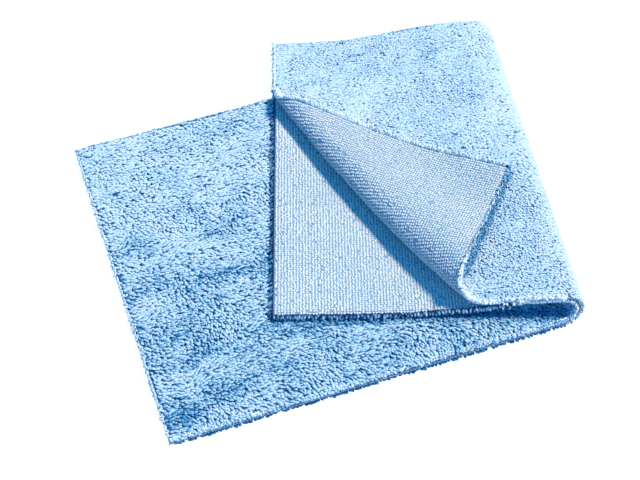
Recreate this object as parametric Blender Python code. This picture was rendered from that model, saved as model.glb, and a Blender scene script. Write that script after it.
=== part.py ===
"""Folded plush microfibre cloth, lying as it is put down.

The square cloth is folded in half, the doubled strip is folded over again along a
slanted line into a loose roll, and the near corner of the top layer is turned back.
It is one sheet, so it is modelled flat as a thin slab and then laid along its folds.

Metres, +Z up. +X runs along the doubled strip towards the slanted fold, +Y towards
the closed fold at the back.
"""

import math

import bmesh
import bpy
import numpy as np
from mathutils import Vector

# The flat cloth.
LENGTH = 0.395            # along the doubled strip
WIDTH = 0.400             # across both halves of the strip
THICK = 0.0028            # knitted ground with the pile on both sides
GAP = 0.0006              # air between layers that lie on each other
CELL = 0.0145             # spacing of the flat grid

# First fold, in half, with the plush outside.
HALF = WIDTH / 2
APART = (THICK + GAP) / 2         # each layer's middle from the middle of its pair
HALF_TURN = math.pi * APART / 2   # cloth that a quarter of the fold takes up
CREST = HALF - HALF_TURN          # depth of the fold's centre in the strip
FOLD_CUTS = 8

# Second fold: where the strip leaves the table, and how far it rolls over.
LIFT_FRONT = 0.2157
LIFT_BACK = 0.2470
ROLL_FRONT = 0.0082
ROLL_BACK = 0.0092
ROLL_CUTS = 9
LAND = 0.085              # run over which the upper pair comes down on the lower pair
DROP = 0.055              # run over which it sinks behind the lower pair's back fold

# Turned-back corner: its line runs from the end edge to the front edge.
TURN_END = 0.0400         # on the end edge, from the back fold
TURN_FRONT = 0.2810       # on the front edge, along the strip
TURN_TIGHT = 0.0044       # radius of the turn at the end edge
TURN_LOOSE = 0.0096       # radius of the turn at the front edge
TURN_BOW = 0.0040         # how far the line bows out between its ends
TURN_CUTS = 8
TURN_LAND = 0.047         # run over which the turned corner settles
TURN_AIR = 0.0010         # air under the settled corner
TIP_REACH = 0.085         # cloth from the turn to the tip
TIP_ALONG = 0.0088        # how far the tip is pulled along the line, to the front

# Heights of the middle of the lower pair, and of the upper pair lying on it.
LOWER = THICK / 2 + APART
UPPER = LOWER + 2 * (THICK + GAP)

# Soft ridges and troughs in the top of the lower pair, which the upper pair follows:
# centre x and y, half length, half width, turn of the long way from +X, height.
SOFT_FOLDS = [
    # (x,      y,      long,   wide,   turn, height)
    (0.045, 0.143, 0.060, 0.014, -8.0, 0.0009),
    (0.090, 0.158, 0.045, 0.012, 10.0, 0.0010),
    (0.030, 0.104, 0.055, 0.013, -4.0, 0.0011),
    (0.085, 0.096, 0.040, 0.015, 14.0, 0.0008),
    (0.034, 0.054, 0.050, 0.014, 2.0, 0.0013),
    (0.110, 0.048, 0.050, 0.014, -6.0, 0.0007),
    (0.150, 0.010, 0.034, 0.016, 0.0, 0.0024),
    (0.070, 0.012, 0.040, 0.012, 0.0, 0.0009),
    (0.175, 0.150, 0.045, 0.014, 55.0, 0.0010),
]

# Loose puffs between the two layers of the upper pair.
PUFFS = [
    # (x,      y,      long,   wide,   turn, height)
    (0.200, 0.205, 0.050, 0.016, 8.0, 0.0012),
    (0.165, 0.188, 0.030, 0.012, 15.0, 0.0008),
    (0.205, 0.060, 0.012, 0.040, 10.0, 0.0010),
]


def ease(value):
    """Go from 0 to 1 with level ends."""
    value = np.clip(value, 0.0, 1.0)
    return value * value * (3.0 - 2.0 * value)


def relief(table, x, y):
    """Add up the soft mounds and hollows of a table at points of the ground."""
    height = np.zeros_like(x)
    for mound_x, mound_y, long, wide, turn, rise in table:
        turn = math.radians(turn)
        along = (x - mound_x) * math.cos(turn) + (y - mound_y) * math.sin(turn)
        across = (y - mound_y) * math.cos(turn) - (x - mound_x) * math.sin(turn)
        height = height + rise * np.exp(-((along / long) ** 2) - (across / wide) ** 2)
    return height


def second_fold_frame():
    """Return the slanted fold line's length, direction and square direction."""
    run = Vector((LIFT_BACK - LIFT_FRONT, HALF))
    direction = run.normalized()
    return run.length, direction, Vector((direction.y, -direction.x))


def roll_radius(along):
    """Return the second fold's radius at a distance along its line."""
    length, _, _ = second_fold_frame()
    return ROLL_FRONT + (ROLL_BACK - ROLL_FRONT) * np.clip(along / length, 0.0, 1.0)


def in_half(across):
    """Fold the sheet in half: depth in the strip, and height from its middle."""
    reach = np.abs(across)
    angle = np.minimum(reach, HALF_TURN) / APART
    depth = np.where(reach < HALF_TURN, CREST + APART * np.cos(angle),
                     CREST - (reach - HALF_TURN))
    height = np.sign(across) * APART * np.sin(angle)
    return depth, height


def upper_middle(x, y):
    """Return the height of the middle of the upper pair over a point of the ground."""
    _, line, square = second_fold_frame()
    beyond = (x - LIFT_FRONT) * square.x + y * square.y
    radius = roll_radius((x - LIFT_FRONT) * line.x + y * line.y)
    sunk = ease((y - HALF) / DROP)
    rest = UPPER + relief(SOFT_FOLDS, x, y)
    rest = rest - (rest - LOWER - 0.0004) * sunk
    top = LOWER + 2 * radius
    landed = rest + (top - rest) * (1.0 - ease(-beyond / LAND))
    outer = radius + APART
    round_the_end = top - outer + np.sqrt(np.maximum(outer ** 2 - beyond ** 2, 0.0))
    return np.where(beyond < 0.0, landed, round_the_end)


def turn_frame():
    """Return the turned corner's line on the ground: start, direction, side, length."""
    start, end, corner = (ground_point(LENGTH, -TURN_END), ground_point(TURN_FRONT, -HALF),
                          ground_point(LENGTH, -HALF))
    line = (end - start).normalized()
    side = Vector((line.y, -line.x))
    if side.dot(corner - start) < 0.0:
        side = -side
    return start, line, side, (end - start).length


def ground_point(along, across):
    """Return where one point of the cloth lies, before its corner is turned."""
    x, y, _ = fold_over(np.array([along]), np.array([across]))
    return Vector((x[0], y[0]))


def fold_over(along, across):
    """Lay points of the sheet along the first two folds."""
    _, line, square = second_fold_frame()
    depth, height = in_half(across)
    beyond = (along - LIFT_FRONT) * square.x + depth * square.y
    level = (along - LIFT_FRONT) * line.x + depth * line.y
    radius = roll_radius(level)
    angle = np.clip(beyond / radius, 0.0, math.pi)
    past = np.maximum(beyond - math.pi * radius, 0.0)
    reach = np.where(beyond < 0.0, beyond, radius * np.sin(angle)) - past
    reach = reach - height * np.sin(angle)
    x = LIFT_FRONT + reach * square.x + level * line.x
    y = reach * square.y + level * line.y

    inner = ease(across / 0.030)
    outer = ease(-across / 0.030)
    low = LOWER + radius * (1.0 - np.cos(angle)) + height * np.cos(angle)
    low = low + relief(SOFT_FOLDS, x, y) * inner * ease(-beyond / 0.020 + 0.5)
    crest = np.maximum(depth - CREST, 0.0)      # the fold's round edge keeps one height
    crest_x = x - crest * 2.0 * line.x * line.y
    crest_y = y - crest * (line.y ** 2 - line.x ** 2)
    high = upper_middle(crest_x, crest_y) - height
    high = high + relief(PUFFS, x, y) * outer * ease(past / 0.030)
    return x, y, np.where(angle < math.pi, low, high)


def turn_back(x, y, z):
    """Turn the near corner of the top layer back over a loose diagonal roll."""
    start, line, side, length = turn_frame()
    aside = (x - start.x) * side.x + (y - start.y) * side.y
    level = (x - start.x) * line.x + (y - start.y) * line.y
    aside = aside - turn_bow(level / length)
    radius = turn_radius(level / length)
    angle = np.clip(aside / radius, 0.0, math.pi)
    past = np.maximum(aside - math.pi * radius, 0.0)
    pull = np.clip(past / TIP_REACH, 0.0, 1.2)
    aside_now = radius * np.sin(angle) - past + turn_bow(level / length)
    level_now = level + pull * TIP_ALONG
    x_now = start.x + aside_now * side.x + level_now * line.x
    y_now = start.y + aside_now * side.y + level_now * line.y
    settled = THICK + GAP + TURN_AIR
    rise = radius * (1.0 - np.cos(angle))
    rise = np.where(past > 0.0,
                    settled + (2 * radius - settled) * (1.0 - ease(past / TURN_LAND)), rise)
    z_now = upper_middle(x_now, y_now) + APART + rise
    z_now = z_now + relief(PUFFS, x_now, y_now)
    turned = aside > 0.0
    return (np.where(turned, x_now, x), np.where(turned, y_now, y),
            np.where(turned, z_now, z))


def turn_radius(share):
    """Return the turned corner's radius at a share of its line."""
    return TURN_TIGHT + (TURN_LOOSE - TURN_TIGHT) * np.clip(share, 0.0, 1.15)


def turn_bow(share):
    """Return how far the turned corner's line bows out at a share of its length."""
    share = np.clip(share, 0.0, 1.0)
    return TURN_BOW * 4.0 * share * (1.0 - share)


def lay(along, across):
    """Lay points of the cloth's middle surface where they lie when folded."""
    x, y, z = fold_over(along, across)
    turned_x, turned_y, turned_z = turn_back(x, y, z)
    _, line, square = second_fold_frame()
    depth, _ = in_half(across)
    beyond = (along - LIFT_FRONT) * square.x + depth * square.y
    level = (along - LIFT_FRONT) * line.x + depth * line.y
    top_layer = (across < 0.0) & (beyond >= math.pi * roll_radius(level))
    return np.stack([np.where(top_layer, turned_x, x), np.where(top_layer, turned_y, y),
                     np.where(top_layer, turned_z, z)], axis=-1)


def facing(along, across, step=0.0001):
    """Return the side the cloth's short pile faces at its laid points."""
    run = lay(along + step, across) - lay(along - step, across)
    span = lay(along, across + step) - lay(along, across - step)
    square = np.cross(run, span)
    return square / np.linalg.norm(square, axis=-1, keepdims=True)


def cut(bm, start, end, inside, snap=0.0008):
    """Cut the flat sheet along a line, through the faces whose middle is inside."""
    faces = [face for face in bm.faces if inside(face.calc_center_median())]
    edges = {edge for face in faces for edge in face.edges}
    verts = {vert for face in faces for vert in face.verts}
    direction = Vector((end[0] - start[0], end[1] - start[1], 0.0)).normalized()
    bmesh.ops.bisect_plane(bm, geom=[*verts, *edges, *faces], dist=snap,
                           plane_co=(start[0], start[1], 0.0),
                           plane_no=(direction.y, -direction.x, 0.0))


def cut_first_fold(bm):
    """Cut the flat sheet across its middle, where it is folded in half."""
    for index in range(FOLD_CUTS + 1):
        across = HALF_TURN * (2 * index / FOLD_CUTS - 1)
        cut(bm, (0.0, across), (LENGTH, across), lambda _: True, snap=0.0001)


def cut_second_fold(bm):
    """Cut both halves of the flat sheet along the slanted roll."""
    _, _, square = second_fold_frame()
    for half in (-1, 1):
        for index in range(ROLL_CUTS + 1):
            share = math.pi * index / ROLL_CUTS
            front = LIFT_FRONT + share * ROLL_FRONT / square.x
            back = LIFT_FRONT + (share * ROLL_BACK - HALF * square.y) / square.x
            cut(bm, (front, half * HALF), (back, 0.0), lambda at, s=half: at.y * s > 0.0)


def cut_turned_corner(bm):
    """Cut the flat sheet's corner along the fan of lines that its turn takes."""
    start = Vector((LENGTH, -TURN_END))
    end = Vector((TURN_FRONT, -HALF))
    line = (end - start).normalized()
    side = Vector((-line.y, line.x))
    if side.dot(Vector((LENGTH, -HALF)) - start) < 0.0:
        side = -side
    middle = (start + end) / 2 + side * TURN_BOW
    half = (end - start).length / 2
    for index in range(TURN_CUTS + 1):
        share = math.pi * index / TURN_CUTS
        first = start + side * share * TURN_TIGHT
        second = middle + side * share * turn_radius(0.5)
        third = end + side * share * TURN_LOOSE
        for one, other, low, high in ((first, second, -0.02, half), (second, third, half, 1.0)):
            cut(bm, one, other, lambda at, low=low, high=high: (
                at.y < 0.0 and (at.xy - start).dot(side) > -0.012
                and low < (at.xy - start).dot(line) <= high))


def build_cloth():
    """Model the flat cloth as a slab, lay it along its folds and name it."""
    bm = bmesh.new()
    segments = round(LENGTH / CELL)
    segments += segments % 2
    bmesh.ops.create_grid(bm, x_segments=segments, y_segments=segments, size=0.5)
    bmesh.ops.scale(bm, vec=(LENGTH, WIDTH, 1.0), verts=bm.verts)
    bmesh.ops.translate(bm, vec=(LENGTH / 2, 0.0, 0.0), verts=bm.verts)
    cut_first_fold(bm)
    cut_second_fold(bm)
    cut_turned_corner(bm)
    bmesh.ops.triangulate(bm, faces=bm.faces)
    bmesh.ops.solidify(bm, geom=bm.faces, thickness=THICK)
    bmesh.ops.triangulate(bm, faces=[face for face in bm.faces if len(face.verts) > 3])

    flat = np.array([vert.co[:] for vert in bm.verts])
    off = flat[:, 2] - (flat[:, 2].min() + flat[:, 2].max()) / 2
    laid = lay(flat[:, 0], flat[:, 1]) + facing(flat[:, 0], flat[:, 1]) * off[:, None]
    laid[:, :2] -= (laid[:, :2].min(axis=0) + laid[:, :2].max(axis=0)) / 2
    laid[:, 2] -= laid[:, 2].min()
    for vert, place in zip(bm.verts, laid):
        vert.co = place
    bmesh.ops.recalc_face_normals(bm, faces=bm.faces)

    mesh = bpy.data.meshes.new("cloth")
    bm.to_mesh(mesh)
    bm.free()
    cloth = bpy.data.objects.new("cloth", mesh)
    bpy.context.collection.objects.link(cloth)
    return cloth


def plush_material():
    """Make the cloth's pale blue fabric."""
    material = bpy.data.materials.new("plush")
    material.use_nodes = True
    shader = material.node_tree.nodes["Principled BSDF"]
    shader.inputs["Base Color"].default_value = (0.33, 0.55, 0.80, 1.0)
    shader.inputs["Roughness"].default_value = 0.95
    shader.inputs["Metallic"].default_value = 0.0
    return material


def main():
    """Clear the scene and build the cloth."""
    for item in list(bpy.data.objects):
        bpy.data.objects.remove(item, do_unlink=True)
    cloth = build_cloth()
    cloth.data.materials.append(plush_material())


main()
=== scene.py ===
"""Folded plush microfibre cloth: knitted ground, plush loops and short pile.

The cloth is laid flat in its own sizes and carried along its folds by one set of
functions, so the ground, the plush and the short pile all follow the same sheet.
Metres, +Z up. +X runs along the doubled strip, +Y towards its closed fold.
"""

import logging
import math
from dataclasses import dataclass, field, fields
from enum import Enum

import bmesh
import bpy
import numpy as np
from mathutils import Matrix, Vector
from mathutils.bvhtree import BVHTree

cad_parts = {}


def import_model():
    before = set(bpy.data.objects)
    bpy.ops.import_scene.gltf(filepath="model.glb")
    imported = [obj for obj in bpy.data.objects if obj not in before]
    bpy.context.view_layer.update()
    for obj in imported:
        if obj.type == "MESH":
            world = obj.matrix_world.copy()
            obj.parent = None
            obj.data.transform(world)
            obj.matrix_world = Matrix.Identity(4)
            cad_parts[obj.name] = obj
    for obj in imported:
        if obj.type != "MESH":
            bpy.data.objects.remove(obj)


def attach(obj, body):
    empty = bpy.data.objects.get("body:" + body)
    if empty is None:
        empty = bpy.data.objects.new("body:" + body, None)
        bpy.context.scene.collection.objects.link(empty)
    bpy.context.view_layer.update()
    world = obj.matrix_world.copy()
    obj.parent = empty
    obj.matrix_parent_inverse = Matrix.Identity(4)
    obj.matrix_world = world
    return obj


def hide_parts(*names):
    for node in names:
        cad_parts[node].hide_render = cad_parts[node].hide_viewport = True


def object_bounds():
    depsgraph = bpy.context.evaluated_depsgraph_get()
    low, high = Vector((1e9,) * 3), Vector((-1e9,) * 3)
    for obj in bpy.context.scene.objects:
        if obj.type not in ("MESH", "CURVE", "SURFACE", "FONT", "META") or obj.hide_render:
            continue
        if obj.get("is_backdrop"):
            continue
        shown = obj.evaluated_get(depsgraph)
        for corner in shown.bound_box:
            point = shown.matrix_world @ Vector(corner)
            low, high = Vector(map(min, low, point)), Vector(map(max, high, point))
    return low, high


LOG = logging.getLogger("cloth")
Array = np.ndarray
Colour = tuple[float, float, float]
Material = bpy.types.Material
Piece = bpy.types.Object
Tree = bpy.types.NodeTree
Socket = bpy.types.NodeSocket

MOST_TRIANGLES = 196_000  # in one piece
SAG = 0.28                # share of its height that a tuft loses as it hangs over
TABLE_GAP = 0.00006       # the lowest that a tuft reaches
EDGE_INSET = 0.0002       # the nearest that a root comes to a cut edge
ROW_SPACING = 0.00165     # of the short pile, along the strip
STITCH_SPACING = 0.00132  # of the short pile, across the strip


class Side(Enum):
    """The two faces of the cloth, by the way they lie from its middle."""

    PLUSH = -1.0
    SHORT = 1.0


def ease(value: Array) -> Array:
    """Go from 0 to 1 with level ends, as the value does."""
    value = np.clip(value, 0.0, 1.0)
    return value * value * (3.0 - 2.0 * value)


def unit(ways: Array) -> Array:
    """Return vectors brought to a length of 1."""
    return ways / np.maximum(np.linalg.norm(ways, axis=-1, keepdims=True), 1e-12)


def along_cloth(ways: Array, normals: Array) -> Array:
    """Return unit vectors along the cloth, which faces along the normals."""
    return unit(ways - normals * np.sum(ways * normals, axis=1, keepdims=True))


def soft_noise(x: Array, y: Array, size: float, seed: float) -> Array:
    """Make a smooth uneven field from a few slanted waves.

    Args:
        x: Points' first coordinate, in metres.
        y: Points' second coordinate, in metres.
        size: Rough size of a mound, in metres.
        seed: Any number, which picks the field.

    Returns:
        Values of about -1 to 1.
    """
    total = np.zeros_like(x)
    for step in range(6):
        turn = seed * 1.7 + step * 2.4
        rate = math.tau / (size * (0.75 + 0.22 * step))
        along = x * math.cos(turn) + y * math.sin(turn)
        bend = 0.9 * np.sin((y * math.cos(turn) - x * math.sin(turn)) * rate * 0.6 + step)
        total = total + np.sin(along * rate + bend + seed * 3.1 + step)
    return total / 3.2


@dataclass(frozen=True)
class Mound:
    """A soft ridge, trough or streak on the ground plan of the cloth.

    It has a centre, a half length, a half width, a turn from +X in degrees, and a
    height, or a strength if it is a streak.
    """

    x: float
    y: float
    long: float
    wide: float
    turn: float
    rise: float

    def place(self, x: Array, y: Array) -> tuple[Array, Array]:
        """Return how far points are along and across the mound, in its half sizes.

        Args:
            x: Points' first coordinate on the plan.
            y: Points' second coordinate on the plan.

        Returns:
            The two distances, in its half length and half width.
        """
        turn = math.radians(self.turn)
        along = (x - self.x) * math.cos(turn) + (y - self.y) * math.sin(turn)
        across = (y - self.y) * math.cos(turn) - (x - self.x) * math.sin(turn)
        return along / self.long, across / self.wide

    def height(self, x: Array, y: Array) -> Array:
        """Return the mound's height at points of the ground plan."""
        along, across = self.place(x, y)
        return self.rise * np.exp(-(along ** 2) - across ** 2)


def relief(mounds: tuple[Mound, ...], x: Array, y: Array) -> Array:
    """Add up mounds at points of the ground plan.

    Args:
        mounds: The mounds to add.
        x: Points' first coordinate on the plan.
        y: Points' second coordinate on the plan.

    Returns:
        The height of all of them at each point.
    """
    total = np.zeros_like(x)
    for mound in mounds:
        total = total + mound.height(x, y)
    return total


SOFT_FOLDS = (
    Mound(0.045, 0.143, 0.060, 0.014, -8.0, 0.0009),
    Mound(0.090, 0.158, 0.045, 0.012, 10.0, 0.0010),
    Mound(0.030, 0.104, 0.055, 0.013, -4.0, 0.0011),
    Mound(0.085, 0.096, 0.040, 0.015, 14.0, 0.0008),
    Mound(0.034, 0.054, 0.050, 0.014, 2.0, 0.0013),
    Mound(0.110, 0.048, 0.050, 0.014, -6.0, 0.0007),
    Mound(0.150, 0.010, 0.034, 0.016, 0.0, 0.0024),
    Mound(0.070, 0.012, 0.040, 0.012, 0.0, 0.0009),
    Mound(0.175, 0.150, 0.045, 0.014, 55.0, 0.0010),
)
PUFFS = (
    Mound(0.200, 0.205, 0.050, 0.016, 8.0, 0.0012),
    Mound(0.165, 0.188, 0.030, 0.012, 15.0, 0.0008),
    Mound(0.205, 0.060, 0.012, 0.040, 10.0, 0.0010),
)
PARTINGS = (
    Mound(-0.084, 0.063, 0.014, 0.0060, -8.0, 0.60),
    Mound(-0.042, 0.068, 0.018, 0.0060, 20.0, 0.55),
    Mound(-0.080, 0.016, 0.015, 0.0045, -12.0, 0.55),
    Mound(-0.119, 0.000, 0.013, 0.0050, 10.0, 0.60),
    Mound(-0.070, -0.003, 0.015, 0.0050, 6.0, 0.65),
    Mound(-0.040, 0.020, 0.018, 0.0050, -24.0, 0.45),
    Mound(-0.074, -0.033, 0.024, 0.0045, -6.0, 0.70),
    Mound(-0.120, -0.029, 0.014, 0.0055, 14.0, 0.60),
    Mound(-0.104, -0.078, 0.014, 0.0050, 12.0, 0.60),
    Mound(-0.118, -0.109, 0.018, 0.0060, 22.0, 0.70),
    Mound(-0.080, -0.100, 0.022, 0.0050, 8.0, 0.60),
    Mound(-0.048, -0.078, 0.018, 0.0045, -6.0, 0.50),
    Mound(0.005, -0.088, 0.022, 0.0040, -10.0, 0.45),
    Mound(0.040, -0.100, 0.018, 0.0040, 6.0, 0.45),
    Mound(0.048, 0.090, 0.014, 0.0040, 6.0, 0.70),
    Mound(0.013, 0.078, 0.012, 0.0030, -8.0, 0.55),
    Mound(0.084, 0.068, 0.010, 0.0030, 24.0, 0.60),
    Mound(0.090, 0.022, 0.010, 0.0035, 60.0, 0.40),
    Mound(0.096, -0.042, 0.012, 0.0045, 70.0, 0.50),
)


@dataclass
class Folding:
    """The folded cloth's sizes, and the way it lies.

    Attributes:
        length: Flat length along the doubled strip.
        width: Flat width across both halves.
        thick: Thickness with the pile on both sides.
        gap: Air between layers that lie on each other.
        lift_front: Where the strip leaves the table at the front edge.
        lift_back: Where it leaves the table at the closed fold.
        roll_front: Radius of the loose roll at the front.
        roll_back: Radius of the loose roll at the back.
        land: Run over which the upper pair comes down.
        drop: Run over which it sinks behind the lower pair.
        turn_end: Start of the turned corner's line, on the end edge.
        turn_front: End of that line, on the front edge.
        turn_tight: Radius of the turn at its start.
        turn_loose: Radius of the turn at its end.
        turn_bow: How far the line bows out between its ends.
        turn_land: Run over which the turned corner settles.
        turn_air: Air under the settled corner.
        tip_reach: Cloth from the turn to the tip.
        tip_along: How far the tip is pulled towards the front.
        origin: Where the row frame's origin lies in the folding's own plan.
    """

    length: float = 0.395
    width: float = 0.400
    thick: float = 0.0028
    gap: float = 0.0006
    lift_front: float = 0.2157
    lift_back: float = 0.2470
    roll_front: float = 0.0082
    roll_back: float = 0.0092
    land: float = 0.085
    drop: float = 0.055
    turn_end: float = 0.0400
    turn_front: float = 0.2810
    turn_tight: float = 0.0044
    turn_loose: float = 0.0096
    turn_bow: float = 0.0040
    turn_land: float = 0.047
    turn_air: float = 0.0010
    tip_reach: float = 0.085
    tip_along: float = 0.0088
    origin: Vector = field(default_factory=lambda: Vector((0.0, 0.0)))

    def __post_init__(self) -> None:
        """Work out the sizes that follow from the others."""
        self.half = self.width / 2
        self.apart = (self.thick + self.gap) / 2
        self.half_turn = math.pi * self.apart / 2
        self.crest = self.half - self.half_turn
        self.lower = self.thick / 2 + self.apart
        self.upper = self.lower + 2 * (self.thick + self.gap)
        run = Vector((self.lift_back - self.lift_front, self.half))
        self.fold_length = run.length
        self.line = run.normalized()
        self.square = Vector((self.line.y, -self.line.x))
        start = self.plan_point(self.length, -self.turn_end)
        end = self.plan_point(self.turn_front, -self.half)
        corner = self.plan_point(self.length, -self.half)
        self.turn_start = start
        self.turn_line = (end - start).normalized()
        self.turn_side = Vector((self.turn_line.y, -self.turn_line.x))
        if self.turn_side.dot(corner - start) < 0.0:
            self.turn_side = -self.turn_side
        self.turn_length = (end - start).length

    def settle_in(self, low: Vector) -> None:
        """Put the folding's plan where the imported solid's lowest corner says.

        Args:
            low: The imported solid's lowest corner, in the row frame.
        """
        along, across = np.meshgrid(np.linspace(0.0, self.length, 240),
                                    np.linspace(-self.half, self.half, 481))
        self.origin = Vector((0.0, 0.0))
        both = [self.place(along.ravel(), across.ravel(), off * self.thick / 2)
                for off in (-1.0, 1.0)]
        least = np.minimum(both[0].min(axis=0), both[1].min(axis=0))
        self.origin = Vector((float(least[0]) - low.x, float(least[1]) - low.y))

    def roll_radius(self, level: Array) -> Array:
        """Return the loose roll's radius at a distance along its line."""
        share = np.clip(level / self.fold_length, 0.0, 1.0)
        return self.roll_front + (self.roll_back - self.roll_front) * share

    def in_half(self, across: Array) -> tuple[Array, Array]:
        """Fold the sheet in half: depth in the strip, and height from its middle.

        Args:
            across: Distances from the middle of the cloth.

        Returns:
            Places across the strip, greatest at its closed fold, and heights.
        """
        reach = np.abs(across)
        angle = np.minimum(reach, self.half_turn) / self.apart
        depth = np.where(reach < self.half_turn, self.crest + self.apart * np.cos(angle),
                         self.crest - (reach - self.half_turn))
        return depth, np.sign(across) * self.apart * np.sin(angle)

    def roll_place(self, along: Array, across: Array) -> tuple[Array, Array]:
        """Return how far flat points are past the roll's line, and along it.

        Args:
            along: Distances along the doubled strip.
            across: Distances from the middle of the cloth.

        Returns:
            Distances past the line and along it.
        """
        depth, _ = self.in_half(across)
        beyond = (along - self.lift_front) * self.square.x + depth * self.square.y
        return beyond, (along - self.lift_front) * self.line.x + depth * self.line.y

    def upper_middle(self, x: Array, y: Array) -> Array:
        """Return the height of the upper pair's middle over points of the plan.

        Args:
            x: Points' first coordinate on the plan.
            y: Points' second coordinate on the plan.

        Returns:
            Heights over the plan.
        """
        beyond = (x - self.lift_front) * self.square.x + y * self.square.y
        radius = self.roll_radius((x - self.lift_front) * self.line.x + y * self.line.y)
        rest = self.upper + relief(SOFT_FOLDS, x, y)
        rest = rest - (rest - self.lower - 0.0004) * ease((y - self.half) / self.drop)
        top = self.lower + 2 * radius
        landed = rest + (top - rest) * (1.0 - ease(-beyond / self.land))
        outer = radius + self.apart
        end = top - outer + np.sqrt(np.maximum(outer ** 2 - beyond ** 2, 0.0))
        return np.where(beyond < 0.0, landed, end)

    def plan_point(self, along: float, across: float) -> Vector:
        """Return where one flat point lies in plan, before its corner is turned."""
        x, y, _ = self.fold_over(np.array([along]), np.array([across]))
        return Vector((float(x[0]), float(y[0])))

    def fold_over(self, along: Array, across: Array) -> tuple[Array, Array, Array]:
        """Lay flat points along the first two folds.

        Args:
            along: Distances along the doubled strip.
            across: Distances from the middle of the cloth.

        Returns:
            Their x, y and z in the folding's own plan.
        """
        depth, height = self.in_half(across)
        beyond, level = self.roll_place(along, across)
        radius = self.roll_radius(level)
        angle = np.clip(beyond / radius, 0.0, math.pi)
        past = np.maximum(beyond - math.pi * radius, 0.0)
        reach = np.where(beyond < 0.0, beyond, radius * np.sin(angle)) - past
        reach = reach - height * np.sin(angle)
        x = self.lift_front + reach * self.square.x + level * self.line.x
        y = reach * self.square.y + level * self.line.y
        low = self.lower + radius * (1.0 - np.cos(angle)) + height * np.cos(angle)
        low = low + (relief(SOFT_FOLDS, x, y) * ease(across / 0.030)
                     * ease(-beyond / 0.020 + 0.5))
        crest = np.maximum(depth - self.crest, 0.0)
        crest_x = x - crest * 2.0 * self.line.x * self.line.y
        crest_y = y - crest * (self.line.y ** 2 - self.line.x ** 2)
        high = self.upper_middle(crest_x, crest_y) - height
        high = high + relief(PUFFS, x, y) * ease(-across / 0.030) * ease(past / 0.030)
        return x, y, np.where(angle < math.pi, low, high)

    def turn_radius(self, share: Array) -> Array:
        """Return the turned corner's radius at a share of its line."""
        share = np.clip(share, 0.0, 1.15)
        return self.turn_tight + (self.turn_loose - self.turn_tight) * share

    def bow(self, share: Array) -> Array:
        """Return how far the turned corner's line bows out at a share of it."""
        share = np.clip(share, 0.0, 1.0)
        return self.turn_bow * 4.0 * share * (1.0 - share)

    def turn_place(self, x: Array, y: Array) -> tuple[Array, Array]:
        """Return how far plan points are past the turned corner's line, and along it.

        Args:
            x: Points' first coordinate on the plan.
            y: Points' second coordinate on the plan.

        Returns:
            Distances past the line and along it.
        """
        from_x, from_y = x - self.turn_start.x, y - self.turn_start.y
        level = from_x * self.turn_line.x + from_y * self.turn_line.y
        aside = from_x * self.turn_side.x + from_y * self.turn_side.y
        return aside - self.bow(level / self.turn_length), level

    def turn_back(self, x: Array, y: Array, z: Array) -> tuple[Array, Array, Array]:
        """Turn the near corner of the top layer back over its loose roll.

        Args:
            x: Points' first coordinate on the plan.
            y: Points' second coordinate on the plan.
            z: Points' heights.

        Returns:
            The points' new x, y and z.
        """
        aside, level = self.turn_place(x, y)
        share = level / self.turn_length
        radius = self.turn_radius(share)
        angle = np.clip(aside / radius, 0.0, math.pi)
        past = np.maximum(aside - math.pi * radius, 0.0)
        pull = np.clip(past / self.tip_reach, 0.0, 1.2)
        aside_now = radius * np.sin(angle) - past + self.bow(share)
        level_now = level + pull * self.tip_along
        x_now = (self.turn_start.x + aside_now * self.turn_side.x
                 + level_now * self.turn_line.x)
        y_now = (self.turn_start.y + aside_now * self.turn_side.y
                 + level_now * self.turn_line.y)
        settled = self.thick + self.gap + self.turn_air
        rise = radius * (1.0 - np.cos(angle))
        landing = settled + (2 * radius - settled) * (1.0 - ease(past / self.turn_land))
        rise = np.where(past > 0.0, landing, rise)
        z_now = self.upper_middle(x_now, y_now) + self.apart + rise
        z_now = z_now + relief(PUFFS, x_now, y_now)
        turned = aside > 0.0
        return (np.where(turned, x_now, x), np.where(turned, y_now, y),
                np.where(turned, z_now, z))

    def on_top(self, along: Array, across: Array) -> Array:
        """Return which flat points are in the top layer, past the loose roll."""
        beyond, level = self.roll_place(along, across)
        return (across < 0.0) & (beyond >= math.pi * self.roll_radius(level))

    def lay(self, along: Array, across: Array) -> Array:
        """Lay flat points of the cloth's middle surface where they lie when folded.

        Args:
            along: Distances along the doubled strip.
            across: Distances from the middle of the cloth.

        Returns:
            Their places in the row frame.
        """
        x, y, z = self.fold_over(along, across)
        turned = self.turn_back(x, y, z)
        top = self.on_top(along, across)
        return np.stack([np.where(top, turned[0], x) - self.origin.x,
                         np.where(top, turned[1], y) - self.origin.y,
                         np.where(top, turned[2], z)], axis=-1)

    def spans(self, along: Array, across: Array, step: float) -> tuple[Array, Array]:
        """Return how laid points move over small steps along and across the cloth."""
        return (self.lay(along + step, across) - self.lay(along - step, across),
                self.lay(along, across + step) - self.lay(along, across - step))

    def facing(self, along: Array, across: Array) -> Array:
        """Return the way the short side faces at laid points."""
        return unit(np.cross(*self.spans(along, across, 0.0001)))

    def place(self, along: Array, across: Array, off: Array | float) -> Array:
        """Lay flat points that are off the middle surface.

        Args:
            along: Distances along the doubled strip.
            across: Distances from the middle of the cloth.
            off: Distances from the middle surface, towards the short side.

        Returns:
            Their places in the row frame.
        """
        off = np.broadcast_to(np.asarray(off, float), np.shape(along))
        return self.lay(along, across) + self.facing(along, across) * off[..., None]


def link_mesh(name: str, mesh: bpy.types.Mesh, *materials: Material) -> Piece:
    """Make an object of a mesh, dress it and say where it belongs.

    Args:
        name: The piece's name.
        mesh: Its mesh, in the row frame.
        materials: Its finishes.

    Returns:
        The piece.
    """
    for material in materials:
        mesh.materials.append(material)
    piece = bpy.data.objects.new(name, mesh)
    bpy.context.scene.collection.objects.link(piece)
    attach(piece, "root")
    return piece


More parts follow.
